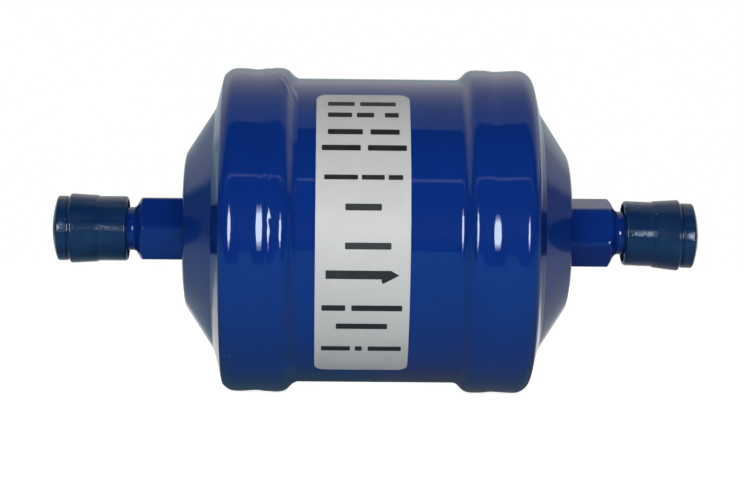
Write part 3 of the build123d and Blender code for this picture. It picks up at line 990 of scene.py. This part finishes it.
class DRIER_OT_seal_caps(Operator):
    """Make the two soft plastic seal caps"""

    bl_idname = "drier.seal_caps"
    bl_label = "Seal Caps"

    def execute(self, context):
        sizes = context.scene.drier_seal_caps
        bore, sleeve = sizes.bore_diameter / 2, sizes.sleeve_diameter / 2
        ring, disc = sizes.ring_diameter / 2, sizes.disc_diameter / 2
        groove = sleeve - 0.2 * MM
        mouth, inside = sizes.mouth_reach, sizes.inside_reach
        end = sizes.disc_reach + sizes.crown
        crown_edge, crown_rows = 0.85 * disc, 12
        ball = (disc**2 + sizes.crown**2) / (2 * sizes.crown)
        outer_skin = bore + 0.2 * MM
        flares = {"inlet": sizes.ring_flare * 1.0, "outlet": sizes.ring_flare * 1.5}

        def on_crown(radius):
            """A place on the bulged end, at this distance from the cap's middle."""
            return end - ball + math.sqrt(ball**2 - radius**2), radius

        for name, side in ENDS.items():
            ring_start = sizes.ring_reach
            ring_end = ring_start + getattr(sizes, f"{name}_ring")
            groove_end = ring_end + sizes.groove_width
            outside = bent_line(
                [(mouth, bore), (mouth, sleeve), (ring_start - 0.1 * MM, sleeve),
                 (ring_start + 0.25 * MM, ring), (ring_end, ring + flares[name]),
                 (ring_end + 0.05 * MM, groove), (groove_end - 0.05 * MM, groove),
                 (groove_end, disc), (sizes.disc_reach, disc), on_crown(crown_edge)],
                [bend * MM for bend in (0.55, 0.3, 0.3, 0.45, 0.12, 0.12, 0.3, 0.45)],
                6,
            )
            section = divided(outside, 0.4 * MM)
            for k in range(1, crown_rows + 1):
                section.append(on_crown(crown_edge * (1 - k / crown_rows)))
            section += [(inside, 0.0), (inside, bore * 0.5)]
            section += bent_line(
                [(inside, bore * 0.6), (inside, bore), (mouth + 0.3 * MM, bore)], [0.5 * MM], 5
            )

            def form(reach, radius, angle):
                """Moulded and pushed on by hand: neither quite round nor quite even."""
                t = np.clip((reach - mouth) / (end - mouth), 0, 1)
                dent = 0.05 * MM * wander(angle + 0.5 * t, 5 + side, (2, 3, 4, 7)) * (0.4 + t)
                return reach, radius + dent * (radius > outer_skin)

            def hang(xyz):
                """The outlet cap's outer skin hangs towards its closed end."""
                t = np.clip((xyz[..., 0] - mouth) / (end - mouth), 0, 1)
                thick = np.hypot(xyz[..., 1], xyz[..., 2]) > outer_skin
                at_end = xyz[..., 0] > inside + 0.3 * MM
                xyz[..., 2] -= sizes.droop * t * (thick | at_end)
                return xyz

            shift = hang if name == "outlet" else None
            piece = turned(f"{name}_soft_seal_cap", side, section, 224, form, shift, sharp_angle=48)
            material = plastic_material(context.scene.drier_finishes)
            finish_piece(piece, f"{name}_seal_cap", "soft_plastic", material, f"{name}_seal_cap")
        return {"FINISHED"}


# ---------------------------------------------------------------- label


# Rows of plain bars, in millimetres: height of the row's middle, height of its bars, and where
# each bar starts and ends along the flow.
PRINT_ROWS = [
    (23.56, 0.80, [(-9.6, -4.6), (-3.6, 3.1)]),
    (21.37, 0.90, [(-9.6, -5.1), (-4.2, -1.0), (1.0, 3.6)]),
    (18.08, 1.00, [(-9.6, -3.1), (-1.7, 3.7)]),
    (15.04, 1.05, [(-10.7, -3.5), (-2.2, 5.0)]),
    (9.55, 0.90, [(-10.2, -4.0), (-3.3, 0.9), (1.6, 4.3)]),
    (4.05, 1.25, [(-6.3, 0.4)]),
    (-3.06, 1.25, [(-6.3, 2.2)]),
    (-14.50, 1.05, [(-10.5, -6.1), (-5.0, 4.4)]),
    (-17.90, 1.00, [(-7.8, 1.7)]),
    (-22.18, 0.85, [(-10.5, -5.1), (-4.2, -2.9), (-1.8, 4.4)]),
]
BAR_CORNER = 0.12

# The flow arrow, from its top to its bottom: left end, right end and height of each line.
ARROW = [
    (-9.8, 2.2, -7.55), (-9.8, 2.9, -7.95), (-9.8, 3.75, -8.38), (-9.8, 3.1, -8.75),
    (-9.8, 2.4, -9.12), (0.45, 2.35, -9.15), (0.5, 1.5, -9.6), (0.65, 0.8, -9.95),
]


def on_tube(x, above, radius):
    """A point on a cylinder round the flow axis, at an angle above the front."""
    return (x, -radius * math.cos(above), radius * math.sin(above))


def label_film_mesh(sizes, tube):
    """The film: rows of points from its upper to its lower edge, on its face and on its back."""
    face = tube + sizes.thickness
    total = (sizes.top + sizes.bottom) * face
    fine, columns = 0.12 * MM, 20
    steps = [k * fine for k in range(int(sizes.corner / fine) + 1)]
    middle = np.linspace(sizes.corner, total - sizes.corner, 120)
    downs = sorted(set(steps + [float(m) for m in middle] + [total - s for s in steps]))
    points, faces = [], []
    for down in downs:
        into_corner = max(0.0, sizes.corner - min(down, total - down))
        cut = sizes.corner - math.sqrt(max(0.0, sizes.corner**2 - into_corner**2))
        above = sizes.top - down / face
        span = sizes.width / 2 - cut
        row = [sizes.middle - span + 2 * span * c / columns for c in range(columns + 1)]
        points += [on_tube(x, above, face) for x in row]
        points += [on_tube(x, above, tube - 0.01 * MM) for x in reversed(row)]
    ring = 2 * (columns + 1)
    for a in range(0, (len(downs) - 1) * ring, ring):
        b = a + ring
        faces += [(b + j, b + (j + 1) % ring, a + (j + 1) % ring, a + j) for j in range(ring)]
    last = (len(downs) - 1) * ring
    for j in range(columns):
        faces.append((ring - 2 - j, ring - 1 - j, j, j + 1))
        faces.append((last + ring - 1 - j, last + ring - 2 - j, last + j + 1, last + j))
    return new_piece("curved_label", points, faces)


def label_print_mesh(ink):
    """The bars and the flow arrow, as patches that follow the film at this radius."""
    points, faces = [], []

    def patch(lines):
        first = len(points)
        for left, right, height in lines:
            above = math.asin(height * MM / ink)
            points.extend([on_tube(left * MM, above, ink), on_tube(right * MM, above, ink)])
        for a in range(first, first + 2 * len(lines) - 2, 2):
            faces.append((a, a + 2, a + 3, a + 1))

    for height, tall, bars in PRINT_ROWS:
        cut, half = BAR_CORNER * tall, tall / 2
        for left, right in bars:
            patch([(left + cut, right - cut, height + half), (left, right, height + half - cut),
                   (left, right, height), (left, right, height - half + cut),
                   (left + cut, right - cut, height - half)])
    patch(ARROW)
    return new_piece("label_print", points, faces, 60)


class DRIER_OT_label(Operator):
    """Make the curved label, its plain flow arrow and its blocks of print"""

    bl_idname = "drier.label"
    bl_label = "Label"

    def execute(self, context):
        sizes, finish = context.scene.drier_label, context.scene.drier_finishes
        tube = context.scene.drier_casing.tube_diameter / 2
        film = label_film_mesh(sizes, tube)
        finish_piece(film, ROOT, "label_film", film_material(finish), "label")
        bars = label_print_mesh(tube + sizes.thickness + sizes.print_height)
        finish_piece(bars, ROOT, "label_film", ink_material(finish))
        return {"FINISHED"}


# ---------------------------------------------------------------- filling


class DRIER_OT_filling(Operator):
    """Finish the filling: plate, screen, mat, block, felts, pan, spring and braze"""

    bl_idname = "drier.filling"
    bl_label = "Filling"

    def execute(self, context):
        finish = context.scene.drier_finishes
        felt = fibre_material("needled_felt", finish.felt, 0.9 * MM, 3.0, 0.7, 0.7)
        mat = fibre_material("bonded_polyester_mat", finish.polyester, 0.5 * MM, 5.0, 0.9, 0.9)
        block = fibre_material(
            "moulded_drying_beads", finish.desiccant, 1.4 * MM, 1.0, 1.0, 1.0, rough=0.85
        )
        steel = metal_material("pressed_sheet_steel", finish.steel, 0.28, 0.45)
        spring = metal_material("blued_spring_steel", finish.spring, 0.25, 0.4, 0.15)
        brass = metal_material("brazing_brass", finish.braze, 0.3, 0.5, 0.5)
        materials = {
            "perforated_plate": steel,
            "pressure_pan": steel,
            "leaf_spring": spring,
            "outlet_screen": wire_material(finish),
            "filter_mat": mat,
            "bypass_ring": felt,
            "inlet_pad": felt,
            "desiccant_core": block,
            "inlet_braze_ring": brass,
            "outlet_braze_ring": brass,
        }
        for name, material in materials.items():
            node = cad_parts[name]
            if not node.material_slots:
                raise RuntimeError(f"{name} has no material slot")
            for slot in node.material_slots:
                slot.material = material
        return {"FINISHED"}


# ---------------------------------------------------------------- studio


# Strip lamps in front, three at each side, each a little before the last: length and glow.
STRIPS = ((0.32, 2.5), (0.27, 4.5), (0.21, 7.5))
STRIP_WIDTH = 0.12
STRIP_PLACE = (0.205, -0.564)
STRIP_STEP = 0.004  # share of the way to the drier from each to the next
STRIP_COLOUR = (0.80, 0.90, 1.0)
# Name, side, height above the axis, and size against the full one.
STRIP_SIDES = (("left", -1, 0.010, 1.0), ("right", 1, -0.014, 0.78))

# The room that the gloss sees, and its table, whose front edge is cut back near the drier.
ROOM_LOW, ROOM_HIGH, ROOM_HALF = -1.0, 1.4, 1.6
TABLE_EDGE = ((ROOM_HALF, 0.085), (0.026, 0.085), (0.018, 0.130))


def soft_lamp(name, place, wide, tall, watts, aim=(0, 0, 0)):
    """A rectangular soft lamp that faces a point and lights without showing in the gloss."""
    data = bpy.data.lights.new(name, "AREA")
    data.shape = "RECTANGLE"
    data.size, data.size_y = wide, tall
    data.energy = watts
    lamp = bpy.data.objects.new(name, data)
    lamp.location = place
    lamp.rotation_euler = (Vector(aim) - Vector(place)).to_track_quat("-Z", "Y").to_euler()
    lamp.visible_camera = False
    lamp.visible_glossy = False
    bpy.context.scene.collection.objects.link(lamp)
    return lamp


def strip_lamps():
    """Bright upright ovals that only the gloss shows, hazy at their rims and brightest inside."""
    for name, side, height, size in STRIP_SIDES:
        for k, (tall, glow) in enumerate(STRIPS):
            near = 1 - STRIP_STEP * k
            place = (side * STRIP_PLACE[0] * near, STRIP_PLACE[1] * near, height)
            watts = glow * math.pi * STRIP_WIDTH * tall * size
            lamp = soft_lamp(f"strip_{name}_{k + 1}", place, STRIP_WIDTH, tall * size, watts)
            lamp.data.shape = "ELLIPSE"
            lamp.data.color = STRIP_COLOUR
            lamp.visible_glossy = True
            lamp.visible_diffuse = False


def seen_background(nodes):
    """1 for rays that show the background: straight to the camera, in gloss, and through glass."""
    path = nodes.add("ShaderNodeLightPath").outputs
    glossy = nodes.math("MAXIMUM", path["Is Camera Ray"], path["Is Glossy Ray"])
    return nodes.math("MAXIMUM", glossy, path["Is Transmission Ray"])


def surround_material(table_height):
    """What the gloss sees of the studio: a bright ceiling and back, a pale table that is bluer near
    the drier, and a dark room in front."""
    material = bpy.data.materials.new("studio_surround")
    material.use_nodes = True
    tree = material.node_tree
    tree.nodes.clear()
    nodes = Nodes(tree)
    x, y, z = nodes.split(nodes.add("ShaderNodeNewGeometry").outputs["Position"])
    wide = nodes.math("ABSOLUTE", x)
    high = nodes.math("MAXIMUM", z, 0.001)

    # The ceiling begins a little in front of straight up and is brightest behind that.
    slant = nodes.math("DIVIDE", y, high)
    starts = nodes.span(slant, -0.185, -0.145)
    rise = nodes.span(slant, -0.16, 0.95, 0.42, 0.88)
    fall = nodes.span(slant, 1.2, 2.8, 1.0, 0.62)
    sides = nodes.span(nodes.math("DIVIDE", wide, high), 3.2, 4.6, 1.0, 0.0)
    ceiling = nodes.product(nodes.product(starts, rise), nodes.product(fall, sides))

    # The back wall is bright in the middle, and outside that it is bright above eye level, more so
    # towards the outlet.
    turned_by = nodes.ratio(x, y)
    middle = nodes.math("MINIMUM", nodes.span(turned_by, -0.47, -0.20, 0.12, 0.56),
                        nodes.span(turned_by, 0.24, 0.60, 0.56, 0.16))
    flank = nodes.window(nodes.math("ABSOLUTE", turned_by), (0.32, 0.42), (0.75, 1.0))
    raised = nodes.span(nodes.ratio(z, y), 0.018, 0.032, 0.0, 0.42)
    raised = nodes.product(raised, nodes.span(turned_by, -0.1, 0.1, 1.0, 1.6))
    back = nodes.math("MAXIMUM", middle, nodes.product(flank, raised))
    back = nodes.product(back, nodes.span(y, 0.0, 0.3))

    # A thin strip in front, about 37 degrees up.
    strip = nodes.window(nodes.ratio(high, nodes.product(y, -1.0)), (0.72, 0.74), (0.77, 0.79))
    strip = nodes.product(strip, nodes.span(y, -0.5, -0.3, 0.8, 0.0))
    above = nodes.math("MAXIMUM", nodes.math("MAXIMUM", ceiling, back), strip)

    # The table is in the drier's shadow under it, palest close behind it, and dimmer further off.
    off = nodes.math("ADD", wide, nodes.math("MAXIMUM", y, 0.0))
    near = nodes.span(off, 0.04, 0.10, 0.10, 0.50)
    table = nodes.product(near, nodes.span(off, 0.15, 1.0, 1.0, 0.5))
    table = nodes.product(table, nodes.math("MULTIPLY_ADD", flank, 0.7, 1.0))
    ahead = nodes.span(y, -0.045, 0.02, 1.0, 0.0)
    table = nodes.math("MAXIMUM", table, nodes.product(ahead, 0.5))

    # The room shows above the table, and nothing below it.
    low = nodes.math("LESS_THAN", z, table_height + 1 * MM)
    below = nodes.math("LESS_THAN", z, table_height - 1 * MM)
    room = nodes.product(above, nodes.math("SUBTRACT", 1.0, low))
    light = nodes.math("ADD", nodes.product(table, low), room)
    light = nodes.product(light, nodes.math("SUBTRACT", 1.0, below))

    # Dim parts are bluer than bright ones, and the table's near edge is bluest.
    bright = nodes.span(light, 0.25, 0.85)
    white = nodes.math("MAXIMUM", bright, nodes.span(turned_by, 0.2, 0.5, 0.0, 0.8))
    tint = nodes.blend(white, (0.58, 0.92, 1.0, 1), (1.0, 1.0, 0.985, 1))
    table_tint = nodes.blend(ahead, tint, (0.24, 0.74, 1.0, 1))
    tint = nodes.blend(low, tint, table_tint)
    glow = nodes.add("ShaderNodeEmission", {"Color": tint, "Strength": light}).outputs[0]
    nodes.add("ShaderNodeOutputMaterial", {"Surface": glow})
    return material


def pale_floor(height):
    """A pale floor, lit by the lamps, and lifted to white where it is seen as background."""
    corners = [(-3.0, -2.0, height), (3.0, -2.0, height), (3.0, 3.0, height), (-3.0, 3.0, height)]
    floor = new_piece("pale_floor", corners, [(0, 1, 2, 3)])
    constants = {"Roughness": 0.9, "Specular IOR Level": 0.0, "Emission Color": (1, 1, 1, 1)}
    material, nodes, shader = fresh_material("pale_floor", constants)
    cloud = nodes.noise(nodes.place(), 0.12, 3.0)
    pale = nodes.blend(cloud, (0.80, 0.80, 0.80, 1), (0.83, 0.83, 0.83, 1))
    nodes.put(shader["Base Color"], pale)
    nodes.put(shader["Emission Strength"], nodes.product(seen_background(nodes), 0.90))
    floor.data.materials.append(material)
    floor.visible_glossy = False
    return floor


def studio_surround(table_height):
    """A room with a table that only reflections see."""
    square = [(x * ROOM_HALF, y * ROOM_HALF) for x, y in ((-1, -1), (1, -1), (1, 1), (-1, 1))]
    corners = [(x, y, z) for z in (ROOM_LOW, ROOM_HIGH) for x, y in square]
    sides = [(0, 1, 2, 3), (4, 7, 6, 5), (0, 4, 5, 1), (1, 5, 6, 2), (2, 6, 7, 3), (3, 7, 4, 0)]
    front = [(-x, -y) for x, y in TABLE_EDGE] + [(x, -y) for x, y in reversed(TABLE_EDGE)]
    corners += [(x, y, table_height) for x, y in front + square[2:]]
    sides.append(tuple(range(8, len(corners))))
    surround = new_piece("studio_surround", corners, sides)
    surround.data.materials.append(surround_material(table_height))
    for rays in ("camera", "diffuse", "shadow", "transmission", "volume_scatter"):
        setattr(surround, f"visible_{rays}", False)
    return surround


def studio_world(ambient):
    """White behind everything, and a plain level of light from all round."""
    world = bpy.data.worlds.new("studio_world")
    world.use_nodes = True
    nodes = Nodes(world.node_tree)
    background = world.node_tree.nodes["Background"].inputs
    background["Color"].default_value = (1, 1, 1, 1)
    level = nodes.math("MULTIPLY_ADD", seen_background(nodes), 1.0 - ambient, ambient)
    nodes.put(background["Strength"], level)
    return world


def front_camera(studio):
    """A camera that faces the front, low, a little to the inlet's side and rolled."""
    data = bpy.data.cameras.new("front_camera")
    data.sensor_width = 36.0
    data.lens = data.sensor_width * studio.camera_distance / studio.frame_width
    data.clip_start = 0.01
    camera = bpy.data.objects.new("front_camera", data)
    level = Matrix.Rotation(math.radians(90), 4, "X")
    roll = Matrix.Rotation(-studio.roll, 4, "Y")
    stand = Matrix.Translation((studio.camera_side, -studio.camera_distance, studio.camera_z))
    camera.matrix_world = Matrix.Rotation(-studio.camera_turn, 4, "Z") @ stand @ roll @ level
    bpy.context.scene.collection.objects.link(camera)
    return camera


class DRIER_OT_stage(Operator):
    """Make the floor, the studio round it, the lamps and the camera"""

    bl_idname = "drier.stage"
    bl_label = "Studio"

    def execute(self, context):
        scene, studio = context.scene, context.scene.drier_studio
        floor_z = cad_box[0][2] - studio.floor_gap
        floor = pale_floor(floor_z)
        surround = studio_surround(floor_z)
        scene.world = studio_world(studio.ambient)

        # A wide lamp in front, a low one just above the floor, and a dimmer one behind.
        soft_lamp("front_key", (0.0, -1.3, 0.10), 1.0, 0.6, studio.key)
        bounce_place = (0.0, -0.30, floor_z + 0.012)
        soft_lamp("low_bounce", bounce_place, 0.5, 0.12, studio.bounce, (0, -0.02, 0))
        soft_lamp("back_fill", (0.0, 1.3, 0.30), 1.0, 0.6, 0.7 * studio.key)
        strip_lamps()

        scene.camera = front_camera(studio)
        scene.view_settings.view_transform = "Standard"
        return {"FINISHED"}


# ---------------------------------------------------------------- add-on


GROUPS = {
    "drier_casing": CasingSizes,
    "drier_welds": WeldSizes,
    "drier_fittings": FittingSizes,
    "drier_seal_caps": SealCapSizes,
    "drier_label": LabelSizes,
    "drier_finishes": Finishes,
    "drier_studio": StudioSizes,
}

OPERATORS = (
    DRIER_OT_stage,
    DRIER_OT_shell_tube,
    DRIER_OT_end_caps,
    DRIER_OT_seam_welds,
    DRIER_OT_flare_fittings,
    DRIER_OT_seal_caps,
    DRIER_OT_label,
    DRIER_OT_filling,
)


class DRIER_PT_pieces(Panel):
    """Pieces, sizes and colours of the filter drier"""

    bl_label = "Filter Drier"
    bl_idname = "DRIER_PT_pieces"
    bl_space_type = "VIEW_3D"
    bl_region_type = "UI"
    bl_category = "Filter Drier"

    def draw(self, context):
        layout = self.layout
        for operator in OPERATORS:
            layout.operator(operator.bl_idname, text=operator.bl_label)
        for name, group in GROUPS.items():
            box = layout.box()
            box.label(text=group.__name__)
            for field in group.__annotations__:
                box.prop(getattr(context.scene, name), field)


def register():
    """Adds the property groups, the operators and the panel to Blender."""
    for group in GROUPS.values():
        bpy.utils.register_class(group)
    for operator in OPERATORS:
        bpy.utils.register_class(operator)
    bpy.utils.register_class(DRIER_PT_pieces)
    for name, group in GROUPS.items():
        setattr(bpy.types.Scene, name, PointerProperty(type=group))


def unregister():
    """Takes them out again."""
    for name in GROUPS:
        delattr(bpy.types.Scene, name)
    bpy.utils.unregister_class(DRIER_PT_pieces)
    for operator in reversed(OPERATORS):
        bpy.utils.unregister_class(operator)
    for group in reversed(list(GROUPS.values())):
        bpy.utils.unregister_class(group)


def main():
    """Makes every piece and the stage."""
    register()
    for operator in OPERATORS:
        family, name = operator.bl_idname.split(".")
        getattr(getattr(bpy.ops, family), name)()


if __name__ == "__main__":
    main()
